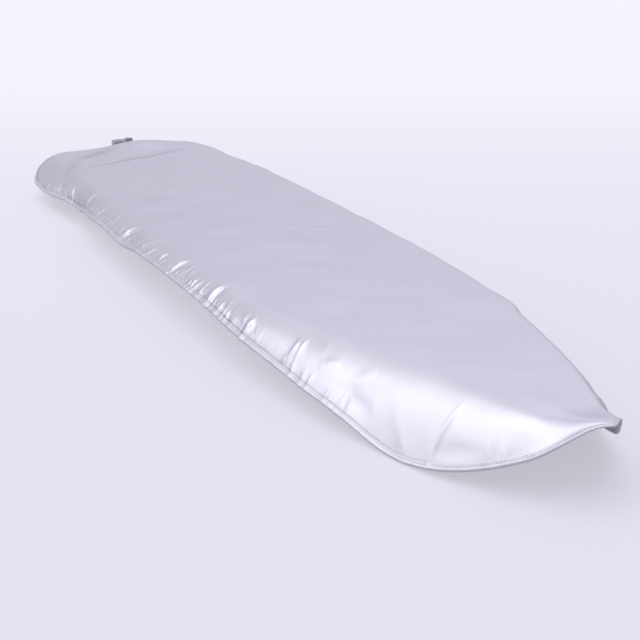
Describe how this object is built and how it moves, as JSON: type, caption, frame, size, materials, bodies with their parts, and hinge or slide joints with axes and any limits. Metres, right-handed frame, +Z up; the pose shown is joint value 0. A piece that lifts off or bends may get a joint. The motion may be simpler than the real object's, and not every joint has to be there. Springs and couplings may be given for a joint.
{
  "type": "ironing board cover",
  "caption": "Padded silver ironing board cover with a pointed nose, a bound skirt, foam and felt layers, and a draw cord pulled tight through a sprung cord lock.",
  "frame": {"origin": "middle of the cover's length and width, on the felt's underside, which lies on the board", "axes": "+X from the tail end to the nose, +Y to the side away from the picture's camera, +Z up"},
  "size_m": [1.3453, 0.3502, 0.0752],
  "materials": {
    "silver_cloth": "satin silver coating on woven cloth",
    "silver_tape": "satin folded tape",
    "pale_foam": "fine open-cell foam",
    "grey_felt": "needled felt",
    "white_cord": "braided cord",
    "grey_plastic": "moulded plastic",
    "spring_steel": "drawn wire"
  },
  "bodies": {
    "cover": {"silver_top_cloth": "silver_cloth", "foam_pad": "pale_foam", "felt_underlay": "grey_felt", "hem_binding": "silver_tape", "draw_cord": "white_cord", "cord_end_bell": "grey_plastic"},
    "lock": {"lock_barrel": "grey_plastic", "lock_spring": "spring_steel"},
    "button": {"lock_plunger": "grey_plastic"}
  },
  "joints": [
    {"name": "lock_slide", "type": "slide", "parent": "cover", "child": "lock", "axis": [-1, 0, 0], "range_m": [0, 0.013]},
    {"name": "button_press", "type": "slide", "parent": "lock", "child": "button", "axis": [0, -1, 0], "range_m": [0, 0.004], "stiffness_N_per_m": 400, "deforming": ["lock_spring"]}
  ]
}
